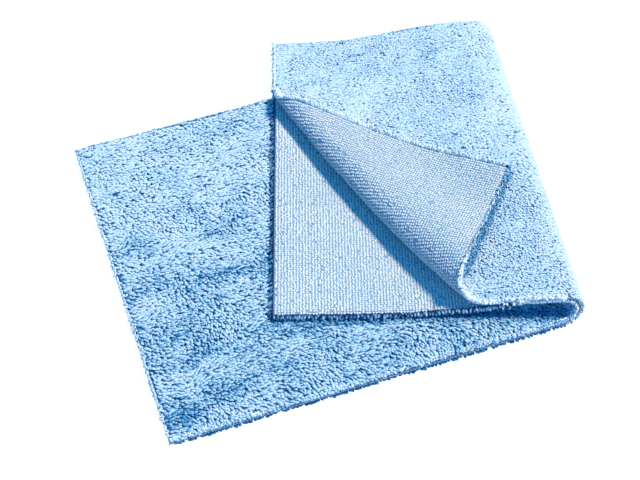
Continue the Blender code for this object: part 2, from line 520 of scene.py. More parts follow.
@dataclass
class GroundKnit:
    """The knitted ground that both piles grow from.

    Attributes:
        folding: The way the cloth lies.
        cell: Spacing of the flat grid.
        plush_face: Where its plush face is, from the cloth's middle surface.
        short_face: Where its short face is.
        fold_cuts: Cuts across the first fold's crest.
    """

    folding: Folding
    cell: float = 0.0031
    plush_face: float = -0.0003
    short_face: float = 0.0009
    fold_cuts: int = 12

    def flat_sheet(self) -> bmesh.types.BMesh:
        """Make the flat sheet, cut close together where it is folded in half.

        Returns:
            The flat sheet, for its maker to free.
        """
        fold = self.folding
        bm = bmesh.new()
        segments = round(fold.length / self.cell)
        segments += segments % 2
        bmesh.ops.create_grid(bm, x_segments=segments, y_segments=segments, size=0.5)
        bmesh.ops.scale(bm, vec=(fold.length, fold.width, 1.0), verts=bm.verts)
        bmesh.ops.translate(bm, vec=(fold.length / 2, 0.0, 0.0), verts=bm.verts)
        for index in range(self.fold_cuts + 1):
            at = fold.half_turn * (2 * index / self.fold_cuts - 1)
            bmesh.ops.bisect_plane(bm, geom=[*bm.verts, *bm.edges, *bm.faces], dist=0.00002,
                                   plane_co=(0.0, at, 0.0), plane_no=(0.0, 1.0, 0.0))
        return bm

    def build(self, plush: Material, short: Material) -> Piece:
        """Make the ground as a thin closed sheet along the folds.

        Args:
            plush: Finish of its plush face, which is painted darker as shade between the tufts.
            short: Finish of its short face.

        Returns:
            The ground.
        """
        fold, bm = self.folding, self.flat_sheet()
        bmesh.ops.solidify(bm, geom=bm.faces, thickness=self.short_face - self.plush_face)
        bmesh.ops.recalc_face_normals(bm, faces=bm.faces)
        flat = np.array([vert.co[:] for vert in bm.verts])
        layer = bm.loops.layers.uv.new("knit")
        for face in bm.faces:
            for loop in face.loops:
                loop[layer].uv = (loop.vert.co.x, loop.vert.co.y)
            face.smooth = True
            face.material_index = int(face.calc_center_median().z > flat[:, 2].mean())
        off = flat[:, 2] - flat[:, 2].min() + self.plush_face
        for vert, point in zip(bm.verts, fold.place(flat[:, 0], flat[:, 1], off)):
            vert.co = point
        mesh = bpy.data.meshes.new("ground_knit")
        bm.to_mesh(mesh)
        bm.free()
        return link_mesh("ground_knit", mesh, plush, short)


@dataclass(frozen=True)
class Tuft:
    """One tuft of pile, one unit tall, grown along +Z from its root.

    Attributes:
        sides: Faces round it.
        rings: Width at each ring, from the root up.
        levels: Height of each ring.
        lean: How far its tip hangs over along +X, in widths.
        curl: How much of the lean comes near the tip.
    """

    sides: int
    rings: tuple[float, ...]
    levels: tuple[float, ...]
    lean: float
    curl: float = 1.6

    def shape(self) -> tuple[Array, Array, Array]:
        """Make the tuft.

        Returns:
            Its points in plan, its triangles and each point's height from 0 to 1.
        """
        bm = bmesh.new()
        bmesh.ops.create_circle(bm, segments=self.sides, radius=self.rings[0])
        edges = list(bm.edges)
        rings = zip(self.rings, self.rings[1:], self.levels, self.levels[1:])
        for width, next_width, level, next_level in rings:
            edges, ring = self.extrude(bm, edges, next_level - level)
            grow = next_width / width
            bmesh.ops.scale(bm, vec=(grow, grow, 1.0), verts=ring)
        edges, ring = self.extrude(bm, edges, 1.0 - self.levels[-1])
        bmesh.ops.pointmerge(bm, verts=ring, merge_co=(0.0, 0.0, 1.0))
        bmesh.ops.recalc_face_normals(bm, faces=bm.faces)
        bmesh.ops.triangulate(bm, faces=bm.faces)
        bm.verts.index_update()
        points = np.array([vert.co[:] for vert in bm.verts])
        faces = np.array([[vert.index for vert in face.verts] for face in bm.faces])
        bm.free()
        height = np.clip(points[:, 2], 0.0, 1.0)
        points[:, 0] += self.lean * height ** self.curl
        return points[:, :2], faces, height

    def extrude(self, bm: bmesh.types.BMesh, edges: list, rise: float) -> tuple[list, list]:
        """Raise a new ring from the last one, and return its edges and points.

        Args:
            bm: The tuft under way.
            edges: Edges of its last ring.
            rise: How far the new ring stands up.

        Returns:
            The new ring's edges and points.
        """
        made = bmesh.ops.extrude_edge_only(bm, edges=edges)["geom"]
        ring = [item for item in made if isinstance(item, bmesh.types.BMVert)]
        bmesh.ops.translate(bm, vec=(0.0, 0.0, rise), verts=ring)
        return [item for item in made if isinstance(item, bmesh.types.BMEdge)], ring


@dataclass
class Shelter:
    """Tells how much room a root has over it, and whether it can be seen.

    A look counts as clear once it has gone as far as the reach.
    """

    ground: Piece
    reach: float = 0.045

    def __post_init__(self) -> None:
        """Make the tree that looks are tested against."""
        mesh = self.ground.data
        points = [vert.co.copy() for vert in mesh.vertices]
        self.tree = BVHTree.FromPolygons(points, [face.vertices[:] for face in mesh.polygons])

    def room(self, root: Vector, up: Vector) -> float:
        """Return the free height over a root, up to the reach."""
        hit = self.tree.ray_cast(root + up * 0.0004, up, self.reach)
        return self.reach if hit[0] is None else hit[3]

    def seen(self, root: Vector, up: Vector) -> bool:
        """Return whether any slanted look out from a root is clear.

        Args:
            root: Where the tuft stands.
            up: The way the cloth faces there.

        Returns:
            True if one look is clear.
        """
        first = up.orthogonal().normalized()
        second = up.cross(first)
        base = root + up * 0.0006
        for turn in range(6):
            angle = turn * math.tau / 6
            aside = first * math.cos(angle) + second * math.sin(angle)
            way = (up * 0.32 + aside).normalized()
            if self.tree.ray_cast(base, way, self.reach)[0] is None:
                return True
        return False


@dataclass
class Rows:
    """Arrays that each have one row for every tuft."""

    def keep(self, chosen: Array) -> "Rows":
        """Return only the chosen rows."""
        return type(self)(*(getattr(self, part.name)[chosen] for part in fields(self)))


@dataclass
class Roots(Rows):
    """Roots of pile: flat places, places on the folded cloth and the way each faces."""

    along: Array
    across: Array
    points: Array
    normals: Array


@dataclass
class Growth(Rows):
    """How tufts grow: the way each hangs, how far in its own heights, and its tone."""

    way: Array
    height: Array
    width: Array
    lean: Array
    tone: Array


@dataclass
class Pile:
    """Pile of one kind on one face of the cloth, made of many small tufts.

    Attributes:
        folding: The way the cloth lies.
        side: The face it grows from.
        tuft: The shape of one tuft.
        root: Where it grows from, off the middle surface.
        wale: Spacing along the strip.
        course: Spacing across the strip.
        stray: How far roots stray from their rows, in spacings.
        stagger: How far every other row is moved along, in spacings.
        seed: What picks the stray tufts.
        margin: Where the first row lies, in from an edge.
    """

    folding: Folding
    side: Side
    tuft: Tuft
    root: float
    wale: float
    course: float
    stray: float
    stagger: float
    seed: int
    margin: float = 0.0006

    def roots(self) -> Roots:
        """Set roots out in rows over the whole cloth, each a little astray.

        Returns:
            The roots, in the order they were drawn.
        """
        fold, spread = self.folding, np.random.default_rng(self.seed)
        end, half = fold.length - self.margin / 2, fold.half - self.margin
        along = np.arange(self.margin, end, self.wale)
        across = np.arange(-half, fold.half - self.margin / 2, self.course)
        along, across = np.meshgrid(along, across)
        along[1::2] += self.wale * self.stagger
        along = along.ravel() + spread.normal(0.0, self.stray, along.size) * self.wale
        across = across.ravel() + spread.normal(0.0, self.stray, across.size) * self.course
        inside = ((along > EDGE_INSET) & (along < fold.length - EDGE_INSET)
                  & (np.abs(across) < fold.half - EDGE_INSET))
        along, across = along[inside], across[inside]
        return Roots(along, across, fold.place(along, across, self.root),
                     fold.facing(along, across) * self.side.value)


@dataclass
class Comb:
    """The way plush is stroked over the plan, and the streaks where it parts."""

    partings: tuple[Mound, ...]

    def direction(self, points: Array) -> Array:
        """Return the way tufts lean in plan at points of the row frame.

        Args:
            points: Places in the row frame.

        Returns:
            One unit vector for each place.
        """
        x, y = points[:, 0], points[:, 1]
        turn = np.radians(-42.0 - 34.0 * ease((x + 0.05) / 0.14) * ease((0.02 - y) / 0.10))
        turn = turn + 0.55 * soft_noise(x, y, 0.040, 1.3) + 0.35 * soft_noise(x, y, 0.013, 4.7)
        return np.stack([np.cos(turn), np.sin(turn), np.zeros_like(turn)], axis=-1)

    def parting(self, points: Array) -> tuple[Array, Array]:
        """Return how parted the pile is at points, and the way it is pushed aside.

        Args:
            points: Places in the row frame.

        Returns:
            Strengths from 0 to 1, and ways across the streaks.
        """
        x, y = points[:, 0], points[:, 1]
        wobble = 0.0022 * soft_noise(x, y, 0.016, 2.1)
        depth = np.zeros_like(x)
        push = np.zeros((len(x), 3))
        for streak in self.partings:
            along, across = streak.place(x, y + wobble)
            near = np.exp(-(along ** 2) - across ** 2) * streak.rise
            turn = math.radians(streak.turn)
            square = np.array([-math.sin(turn), math.cos(turn), 0.0])
            push += (np.tanh(across * 1.5) * near)[:, None] * square
            depth = depth + near
        return np.clip(depth, 0.0, 1.0), push

    def stroke(self, roots: Roots) -> tuple[Array, Array]:
        """Return the way tufts hang along the cloth, and how parted the pile is.

        Args:
            roots: The roots asked about.

        Returns:
            Unit vectors along the cloth, and strengths from 0 to 1.
        """
        parted, push = self.parting(roots.points)
        way = self.direction(roots.points) + push * 1.3
        steep = 1.0 - roots.normals[:, 2:3] ** 2
        return along_cloth(way + np.array([0.0, 0.0, -0.9]) * steep, roots.normals), parted


@dataclass
class Grower:
    """Grows joined meshes of tufts from roots.

    Attributes:
        folding: The way the cloth lies.
        shelter: What tells how much room each root has.
        step: Flat distance over which the cloth's own directions are measured.
        least_room: Room that a root needs if it isn't in the open.
    """

    folding: Folding
    shelter: Shelter
    step: float = 0.0002
    least_room: float = 0.0012

    def edge_distance(self, roots: Roots) -> Array:
        """Return how far roots are from the nearest edge of the flat cloth.

        Args:
            roots: The roots asked about.

        Returns:
            Distances on the flat cloth.
        """
        fold = self.folding
        return np.minimum.reduce([roots.along, fold.length - roots.along,
                                  fold.half - np.abs(roots.across)])

    def outward(self, roots: Roots) -> Array:
        """Return the way out over the nearest edge, along the cloth.

        Args:
            roots: The roots asked about.

        Returns:
            One unit vector for each root.
        """
        fold = self.folding
        run, span = (unit(way) for way in fold.spans(roots.along, roots.across, self.step))
        gaps = np.stack([roots.along, fold.length - roots.along, fold.half - roots.across,
                         fold.half + roots.across], axis=1)
        nearest = np.argmin(gaps, axis=1)[:, None]
        return np.select([nearest == 0, nearest == 1, nearest == 2], [-run, run, span], -span)

    def hang_out(self, roots: Roots, way: Array, over: Array) -> Array:
        """Turn tufts out over the nearest edge, as far as each is said to hang over."""
        over = over[:, None]
        return way * (1.0 - 0.8 * over) + self.outward(roots) * over

    def visible(self, roots: Roots, missed: float, spread: np.random.Generator
                ) -> tuple[Roots, Array]:
        """Keep the roots that can be seen, but for a few that lie flat.

        Args:
            roots: The roots.
            missed: The share that lies flat.
            spread: What picks them.

        Returns:
            The roots that are left, and the room over each of them.
        """
        reach = self.shelter.reach
        seen = np.zeros(len(roots.along), dtype=bool)
        room = np.full(len(roots.along), reach)
        for index, (point, normal) in enumerate(zip(roots.points, roots.normals)):
            root, up = Vector(point), Vector(normal)
            room[index] = self.shelter.room(root, up)
            seen[index] = room[index] >= reach or (room[index] > self.least_room
                                                   and self.shelter.seen(root, up))
        seen &= spread.random(len(seen)) > missed
        return roots.keep(seen), room[seen]

    def grow(self, name: str, tuft: Tuft, roots: Roots, growth: Growth, material: Material
             ) -> Piece:
        """Grow one joined mesh of tufts.

        Args:
            name: The piece's name.
            tuft: The shape of one tuft.
            roots: Where they grow.
            growth: How they grow.
            material: Their finish.

        Returns:
            The piece.
        """
        plan, triangles, level = tuft.shape()
        count, corners = len(roots.along), len(plan)
        width, height, lean = (part[:, None] for part in
                               (growth.width, growth.height, growth.lean))
        upright = height * level * (1.0 - SAG * lean * level)
        forward = width * plan[:, 0] + height * lean * level ** tuft.curl
        sideways = width * plan[:, 1]
        aside = np.cross(roots.normals, growth.way)
        points = roots.points[:, None, :]
        for amount, way in ((upright, roots.normals), (forward, growth.way), (sideways, aside)):
            points = points + amount[..., None] * way[:, None, :]
        points[..., 2] = np.maximum(points[..., 2], TABLE_GAP)
        faces = triangles[None] + (np.arange(count) * corners)[:, None, None]
        faces = faces.reshape(-1, 3)
        mesh = bpy.data.meshes.new(name)
        mesh.vertices.add(count * corners)
        mesh.vertices.foreach_set("co", points.astype(np.float32).ravel())
        mesh.loops.add(faces.size)
        mesh.loops.foreach_set("vertex_index", faces.astype(np.int32).ravel())
        mesh.polygons.add(len(faces))
        mesh.polygons.foreach_set("loop_start", np.arange(0, faces.size, 3, dtype=np.int32))
        mesh.update(calc_edges=True)
        mesh.polygons.foreach_set("use_smooth", np.ones(len(faces), dtype=bool))
        own = np.stack(np.broadcast_arrays(growth.tone[:, None], level), axis=-1)
        own = own.reshape(-1, 2)[faces.ravel()].astype(np.float32)
        mesh.uv_layers.new(name="pile").data.foreach_set("uv", own.ravel())
        LOG.info("%s: %d tufts, %d triangles", name, count, len(faces))
        return link_mesh(name, mesh, material)

    def grow_parts(self, name: str, tuft: Tuft, roots: Roots, growth: Growth,
                   material: Material) -> list[Piece]:
        """Grow tufts in as few pieces as a piece's triangles allow, from left to right.

        Args:
            name: The pieces' name, to which a number is added.
            tuft: The shape of one tuft.
            roots: Where they grow.
            growth: How they grow.
            material: Their finish.

        Returns:
            The pieces.
        """
        order = np.argsort(roots.points[:, 0], kind="stable")
        parts = math.ceil(len(order) * len(tuft.shape()[1]) / MOST_TRIANGLES)
        return [self.grow(f"{name}_{part + 1}", tuft, roots.keep(some), growth.keep(some), material)
                for part, some in enumerate(np.array_split(order, parts))]


class Zone(Enum):
    """The parts of the plush side, by where they lie once folded."""

    UPPER = "plush_upper"
    LOWER = "plush_lower"
    UNDER = "plush_under"


@dataclass
class PlushCoat:
    """The long plush on the cloth's outer face, with its fringed edges.

    Attributes:
        folding: The way the cloth lies.
        height: Height of the loops on the lower layers.
        fine_height: Height of the loops on the top layer.
        width: Half width of a loop, as a share of the spacing.
        fine_width: The same on the top layer.
        spacing: Spacing of the loops on the lower layers.
        fine_spacing: Spacing of the loops on the top layer.
        fringe: How far in from an edge loops hang out over it.
        shade: How far from a layer's edge over it the pile is pressed down and painted darker, as
            shade.
        missed: Share of loops that lie flat, out of sight.
        thin: Share of loops kept in the middle of the underside, and made wider.
    """

    folding: Folding
    height: float = 0.0019
    fine_height: float = 0.0012
    width: float = 0.67
    fine_width: float = 0.72
    spacing: float = 0.00150
    fine_spacing: float = 0.00122
    fringe: float = 0.0022
    shade: float = 0.0060
    missed: float = 0.02
    thin: float = 0.07

    def pile(self, zone: Zone) -> Pile:
        """Return how the plush is set out in a zone.

        Args:
            zone: Which layer of plush it is.

        Returns:
            The pile to set out there.
        """
        if zone is Zone.UPPER:
            tuft, spacing = Tuft(4, (0.80, 0.92), (0.0, 0.62), 1.0), self.fine_spacing
        else:
            tuft, spacing = Tuft(4, (0.64, 1.0, 0.80), (0.0, 0.50, 0.86), 1.0), self.spacing
        return Pile(self.folding, Side.PLUSH, tuft, -0.0002, spacing, spacing * 0.93,
                    0.17, 0.5, 11)

    def in_zone(self, roots: Roots, zone: Zone) -> Array:
        """Return which roots lie in a zone.

        Args:
            roots: The roots asked about.
            zone: Which layer of plush it is.

        Returns:
            True for each root that lies in it.
        """
        beyond, level = self.folding.roll_place(roots.along, roots.across)
        top = (roots.across < 0.0) & (beyond > 0.6 * self.folding.roll_radius(level))
        if zone is Zone.UPPER:
            return top
        return ~top & ((roots.across > 0.0) == (zone is Zone.LOWER))

    def underside(self, grower: Grower, roots: Roots) -> tuple[Array, Array]:
        """Return which roots face the table, and which of those are set thinly.

        Args:
            grower: What knows the folded cloth.
            roots: The roots asked about.

        Returns:
            Two sets of true and false, one value for each root.
        """
        under = (roots.normals[:, 2] < -0.6) & (roots.points[:, 2] < 0.003)
        inner = (grower.edge_distance(roots) > 0.004) & (np.abs(roots.across) > 0.008)
        return under, under & inner

    def bend(self, roots: Roots) -> Array:
        """Return how far round the loose roll roots are: 1 in its middle. It sets a painted
        highlight on the roll's outer face.

        Args:
            roots: The roots asked about.

        Returns:
            Values from 0 to 1.
        """
        beyond, level = self.folding.roll_place(roots.along, roots.across)
        angle = beyond / self.folding.roll_radius(level)
        return ease(1.0 - np.abs(angle - 2.4) / 2.2) * (roots.across < 0.0)

    def near_line(self, roots: Roots, along: Array, across: Array, reach: float) -> Array:
        """Return how near roots are to an edge that lies over them.

        Args:
            roots: The roots.
            along: The edge's flat places along the strip.
            across: Its flat places across it.
            reach: How far from the edge it is still near.

        Returns:
            Nearness: 1 right by the edge, 0 away from it or over it.
        """
        near = np.full(len(roots.along), reach)
        for point in self.folding.lay(*np.broadcast_arrays(along, across)):
            apart = np.hypot(roots.points[:, 0] - point[0], roots.points[:, 1] - point[1])
            over = roots.points[:, 2] > point[2]
            near = np.minimum(near, np.where(over, reach, apart))
        return ease(1.0 - near / reach)

    def beside(self, roots: Roots, zone: Zone) -> Array:
        """Return how far roots are pressed down by a layer that ends over them, and painted darker
        as its shade.

        Args:
            roots: The roots asked about.
            zone: Which layer of plush it is.

        Returns:
            Values from 0, where nothing lies over them.
        """
        fold = self.folding
        if zone is Zone.UPPER:
            front = np.linspace(fold.turn_front + 0.040, fold.length, 90)
            back = np.linspace(-fold.half, -fold.turn_end - 0.016, 110)
            return (0.85 * self.near_line(roots, front, -fold.half, self.shade * 0.7)
                    + 0.30 * self.near_line(roots, fold.length, back, self.shade * 1.2))
        if zone is Zone.LOWER:
            front = np.linspace(fold.lift_front + 0.026, fold.length, 160)
            end = np.linspace(0.018, fold.half, 120)
            return (self.near_line(roots, front, fold.half, self.shade)
                    + self.near_line(roots, fold.length, end, self.shade * 0.8))
        return np.zeros(len(roots.along))

    def build(self, grower: Grower, comb: Comb, material: Material) -> list[Piece]:
        """Grow all the plush, zone by zone."""
        return [piece for zone in Zone
                for piece in self.build_zone(grower, comb, material, zone)]

    def build_zone(self, grower: Grower, comb: Comb, material: Material, zone: Zone
                   ) -> list[Piece]:
        """Grow one zone of the plush.

        Args:
            grower: What grows it.
            comb: The way it is stroked.
            material: Its finish.
            zone: The zone.

        Returns:
            The zone's pieces.
        """
        pile = self.pile(zone)
        spread = np.random.default_rng(pile.seed + 1)
        roots = pile.roots()
        roots = roots.keep(self.in_zone(roots, zone))
        _, sparse = self.underside(grower, roots)
        roots = roots.keep(~sparse | (spread.random(len(sparse)) < self.thin))
        roots, room = grower.visible(roots, self.missed, spread)
        under, sparse = self.underside(grower, roots)

        count, upper = len(roots.along), zone is Zone.UPPER
        x, y = roots.points[:, 0], roots.points[:, 1]
        way, parted = comb.stroke(roots)
        over = np.where(under, 0.1, 0.5) * ease(1.0 - grower.edge_distance(roots) / self.fringe)
        way = unit(grower.hang_out(roots, way, over))
        patch = soft_noise(x, y, 0.030, 7.9)
        clump = soft_noise(x, y, 0.0058, 2.7)
        rough = 0.25 + 0.75 * ease((0.045 - y) / 0.120)
        press_and_painted_shade = np.clip(self.beside(roots, zone), 0.0, 1.0)
        # Fringe loops of the lower layers that don't face up are painted darker, as shade.
        shaded = (over > 0.0) & (roots.normals[:, 2] <= 0.3) & (not upper)
        height, lean = self.height, 0.40 + 0.45 * rough
        if upper:
            height, lean, rough = self.fine_height, 0.32, rough * 0.4
        height = height * (1.0 + 0.06 * patch + 0.14 * rough * clump
                           + 0.12 * spread.normal(0.0, 1.0, count))
        height = height * (1.0 - 0.35 * parted) * (1.0 - 0.50 * press_and_painted_shade)
        height = height * (1.0 - 0.60 * over) * np.where(under, 0.6, 1.0)
        height = np.minimum(height, np.maximum(room - 0.0003, 0.0004))
        lean = np.clip(lean + spread.normal(0.0, 0.16, count), 0.05, 1.2)
        width = pile.wale * (self.fine_width if upper else self.width)
        width = width * np.where(sparse, 2.6, 1.0) * (1.0 + spread.normal(0, 0.10, count))
        width = width * (1.14 - 0.22 * rough - 0.22 * parted)
        twist = spread.normal(0.0, 0.30, count)[:, None]
        way = unit(way + np.cross(roots.normals, way) * twist)
        tone = 0.58 + 0.10 * spread.normal(0.0, 1.0, count) + 0.08 * patch
        # Painted shade: darker in the parted streaks, beside a layer's edge over the pile and on
        # fringe loops that don't face up; the tone also falls towards the front edge as rough
        # grows.
        tone = tone - 0.30 * parted - 0.19 * rough - 0.70 * press_and_painted_shade - 0.40 * shaded
        # Painted highlight on the loose roll's outer face; the lower layers' tone sits 0.12 below
        # the top layer's.
        tone = np.clip(tone + 0.34 * self.bend(roots) - (0.01 if upper else 0.13), 0.02, 0.98)
        growth = Growth(way, height, width, lean, tone)
        return grower.grow_parts(zone.value, pile.tuft, roots, growth, material)


@dataclass
class EdgeCoat:
    """The loops that stand out all round the cloth's cut edges.

    Attributes:
        folding: The way the cloth lies.
        height: Height of a loop.
        width: Half width of a loop.
        spacing: Spacing along an edge.
        inside: How far in from the edge they grow.
        rows: Each row's place off the middle surface, lean to the plush side and tone; the tone
            paints the plush side's row dark as shade and the short side's row lighter.
        seed: What picks the stray loops.
    """

    folding: Folding
    height: float = 0.0015
    width: float = 0.00078
    spacing: float = 0.00124
    inside: float = 0.0003
    rows: tuple[tuple[float, float, float], ...] = (
        (-0.0002, 0.55, 0.0), (0.0003, 0.30, 0.05), (0.0008, -0.10, 0.30))
    seed: int = 41

    def around(self) -> tuple[Array, Array]:
        """Return flat points all round the cloth, just inside its edges.

        Returns:
            Distances along the strip and from the cloth's middle.
        """
        fold, inside = self.folding, self.inside
        run = np.arange(inside, fold.length - inside, self.spacing)
        span = np.arange(-fold.half + inside, fold.half - inside, self.spacing)
        near, far = np.full_like(span, inside), np.full_like(span, fold.length - inside)
        side = np.full_like(run, fold.half - inside)
        return (np.concatenate([run, run, near, far]),
                np.concatenate([-side, side, span, span]))

    def tone(self, roots: Roots) -> Array:
        """Return each loop's tone, in painted light and shade: pale on top as a painted highlight,
        dark as painted shade where a layer lies on another.

        Args:
            roots: The roots asked about.

        Returns:
            Tones from 0 to 1.
        """
        fold = self.folding
        top = fold.on_top(roots.along, roots.across)
        turned = (roots.along > fold.turn_front + 0.038) & (roots.across < -fold.half + 0.001)
        beyond, _ = fold.roll_place(roots.along, roots.across)
        laid_on = (roots.across > 0.0) & (beyond > 0.0)
        covered = laid_on & (roots.along < fold.turn_front - 0.012)
        lowest = (roots.across < 0.0) & (beyond < 0.0)
        # Painted shade under the turned corner's edge, on exposed edges that lie on a layer and on
        # the lowest edges; a painted highlight on the top layer's edges.
        return np.select([top & turned, covered, laid_on, lowest, roots.across < 0.0],
                         [0.10, 0.55, 0.0, 0.15, 0.90], 0.70)

    def build(self, grower: Grower, material: Material) -> Piece:
        """Grow the loops round the edges.

        Args:
            grower: What grows them.
            material: Their finish.

        Returns:
            The piece.
        """
        fold, spread = self.folding, np.random.default_rng(self.seed)
        along, across = self.around()
        off, lean, row_light_and_shade = (np.repeat(column, len(along)) for column in zip(*self.rows))
        along, across = (np.tile(flat, len(self.rows)) for flat in (along, across))
        count = len(along)
        shift = spread.normal(0.0, 0.45, count) * self.spacing
        on_run = np.abs(across) > fold.half - 0.001
        along = np.clip(along + shift * on_run, EDGE_INSET, fold.length - EDGE_INSET)
        across = across + shift * ~on_run
        plush = fold.facing(along, across) * Side.PLUSH.value
        top = fold.on_top(along, across)
        flap = top & (plush[:, 2] < -0.2)
        tilt = np.select([flap, plush[:, 2] > 0.2], [-0.55 - 0.4 * lean, 1.1 * lean + 0.65], lean)
        roots = Roots(along, across, fold.place(along, across, off), plush)
        roots.normals = unit(grower.outward(roots) + plush * tilt[:, None])
        plush = np.where(flap[:, None], -plush, plush)
        way = plush + np.array([0.0, 0.0, -0.4]) + spread.normal(0.0, 0.45, (count, 3))
        way = along_cloth(way, roots.normals)
        height = self.height * (1.0 + spread.normal(0.0, 0.26, count))
        tone = self.tone(roots) + row_light_and_shade
        rim = top & (along > fold.length - 0.001)
        lowest = ~top & (across < 0.0)
        height = height * np.select([rim, top, lowest, tone > 0.5], [1.7, 1.3, 0.26, 0.62], 1.5)
        height = np.maximum(height, 0.0004)
        tone = np.clip(tone + spread.normal(0.0, 0.12, count), 0.0, 0.98)
        width = self.width * (1.0 + spread.normal(0.0, 0.10, count)) * np.where(lowest, 0.6, 1.0)
        lean = np.clip(0.45 + spread.normal(0.0, 0.15, count), 0.0, 1.0)
        tuft = Tuft(4, (0.80, 1.0, 0.80), (0.0, 0.45, 0.84), 1.0)
        return grower.grow("plush_edges", tuft, roots, Growth(way, height, width, lean, tone),
                           material)


@dataclass
class ShortCoat:
    """The short knitted pile on the cloth's inner face, in clear rows.

    Attributes:
        folding: The way the cloth lies.
        height: Height of a stitch's pile.
        width: Half width of a stitch's pile.
        fringe: How far in from an edge it hangs out over it.
        missed: Share of stitches that lie flat, out of sight.
    """

    folding: Folding
    height: float = 0.00070
    width: float = 0.00077
    fringe: float = 0.0018
    missed: float = 0.02

    def build(self, grower: Grower, material: Material) -> list[Piece]:
        """Grow all the short pile.

        Args:
            grower: What grows it.
            material: Its finish.

        Returns:
            The short pile's pieces.
        """
        tuft = Tuft(4, (0.90, 0.95), (0.0, 0.60), 0.3)
        pile = Pile(self.folding, Side.SHORT, tuft, 0.0008, ROW_SPACING, STITCH_SPACING,
                    0.10, 0.06, 23)
        spread = np.random.default_rng(pile.seed + 1)
        roots, room = grower.visible(pile.roots(), self.missed, spread)
        count = len(roots.along)
        _, span = self.folding.spans(roots.along, roots.across, grower.step)
        over = ease(1.0 - grower.edge_distance(roots) / self.fringe)
        way = along_cloth(grower.hang_out(roots, -unit(span), over), roots.normals)
        patch = soft_noise(roots.along, roots.across, 0.035, 3.3)
        height = self.height * (1.0 + 0.08 * patch + spread.normal(0.0, 0.12, count))
        height = np.minimum(height, np.maximum(room - 0.0002, 0.0003))
        width = self.width * (1.0 + spread.normal(0.0, 0.08, count))
        lean = np.clip(0.35 + spread.normal(0.0, 0.15, count), 0.0, 0.9)
        tone = np.clip(0.5 + 0.07 * spread.normal(0.0, 1.0, count) + 0.06 * patch, 0.02, 0.98)
        return grower.grow_parts("short_pile", tuft, roots,
                                 Growth(way, height, width, lean, tone), material)


def plug(tree: Tree, value: object, socket: Socket) -> None:
    """Feed a socket from another one, or set it to a number or a colour.

    Args:
        tree: Where the nodes go.
        value: A socket, a number or a colour.
        socket: What it feeds.
    """
    if isinstance(value, Socket):
        tree.links.new(value, socket)
    else:
        socket.default_value = (*value, 1.0) if isinstance(value, tuple) else value


def math_node(tree: Tree, operation: str, *values: object) -> Socket:
    """Add a Math node that works on sockets or numbers, and return its result.

    Args:
        tree: Where the nodes go.
        operation: Name of the node's operation.
        values: What its inputs take, in order.

    Returns:
        Its value.
    """
    node = tree.nodes.new("ShaderNodeMath")
    node.operation = operation
    for value, socket in zip(values, node.inputs):
        plug(tree, value, socket)
    return node.outputs[0]


def mix_node(tree: Tree, share: Socket, first: object, second: object) -> Socket:
    """Mix two colours and return the result.

    Args:
        tree: Where the node goes.
        share: How much of the second.
        first: The first colour, or a socket.
        second: The second colour, or a socket.

    Returns:
        The mixed colour.
    """
    node = tree.nodes.new("ShaderNodeMix")
    node.data_type = "RGBA"
    for value, index in ((share, 0), (first, 6), (second, 7)):
        plug(tree, value, node.inputs[index])
    return node.outputs[2]


def noise_node(tree: Tree, scale: object, detail: float) -> Socket:
    """Add a noise on the piece's own metres and return its value.

    Args:
        tree: Where the nodes go.
        scale: How many mounds fit in a metre.
        detail: How many finer layers it has.

    Returns:
        Its value, from 0 to 1.
    """
    node = tree.nodes.new("ShaderNodeTexNoise")
    place = tree.nodes.new("ShaderNodeTexCoord")
    tree.links.new(place.outputs["Object"], node.inputs["Vector"])
    plug(tree, scale, node.inputs["Scale"])
    plug(tree, detail, node.inputs["Detail"])
    return node.outputs["Fac"]


def flat_place(tree: Tree, layer: str) -> tuple[Socket, Socket]:
    """Return the two values of one of the piece's own flat maps.

    Args:
        tree: Where the nodes go.
        layer: Name of the map.

    Returns:
        Its first and second values.
    """
    flat = tree.nodes.new("ShaderNodeUVMap")
    flat.uv_map = layer
    parts = tree.nodes.new("ShaderNodeSeparateXYZ")
    tree.links.new(flat.outputs[0], parts.inputs[0])
    return parts.outputs[0], parts.outputs[1]


def new_group(name: str, inputs: dict[str, float], outputs: tuple[str, ...]
              ) -> tuple[Tree, bpy.types.Node, bpy.types.Node]:
    """Make a node group of plain values.

    Args:
        name: The group's name.
        inputs: Each input's starting value, by name.
        outputs: The outputs' names.

    Returns:
        The group, its input node and its output node.
    """
    group = bpy.data.node_groups.new(name, "ShaderNodeTree")
    for key, value in inputs.items():
        socket = group.interface.new_socket(name=key, in_out="INPUT",
                                            socket_type="NodeSocketFloat")
        socket.default_value = value
    for key in outputs:
        group.interface.new_socket(name=key, in_out="OUTPUT", socket_type="NodeSocketFloat")
    return group, group.nodes.new("NodeGroupInput"), group.nodes.new("NodeGroupOutput")


def mottle_group() -> None:
    """Make the shared soft unevenness of tone: wide patches and fine flecks."""
    group, enter, leave = new_group("Mottle", {"Patch Scale": 28.0, "Fleck Scale": 420.0},
                                    ("Patch", "Fleck"))
    for name, detail in (("Patch", 3.0), ("Fleck", 2.0)):
        value = noise_node(group, enter.outputs[f"{name} Scale"], detail)
        group.links.new(value, leave.inputs[name])


def knit_group() -> None:
    """Make the shared knitted rows, which follow the cloth's own flat sizes."""
    sizes = {"Row": ROW_SPACING, "Stitch": STITCH_SPACING}
    group, enter, leave = new_group("Knit Rows", sizes, ("Height",))
    waves = []
    for name, flat in zip(sizes, flat_place(group, "knit")):
        turns = math_node(group, "DIVIDE", flat, enter.outputs[name])
        wave = math_node(group, "COSINE", math_node(group, "MULTIPLY", turns, math.tau))
        waves.append(math_node(group, "MULTIPLY_ADD", wave, 0.5, 0.5))
    group.links.new(math_node(group, "MULTIPLY", *waves), leave.inputs["Height"])


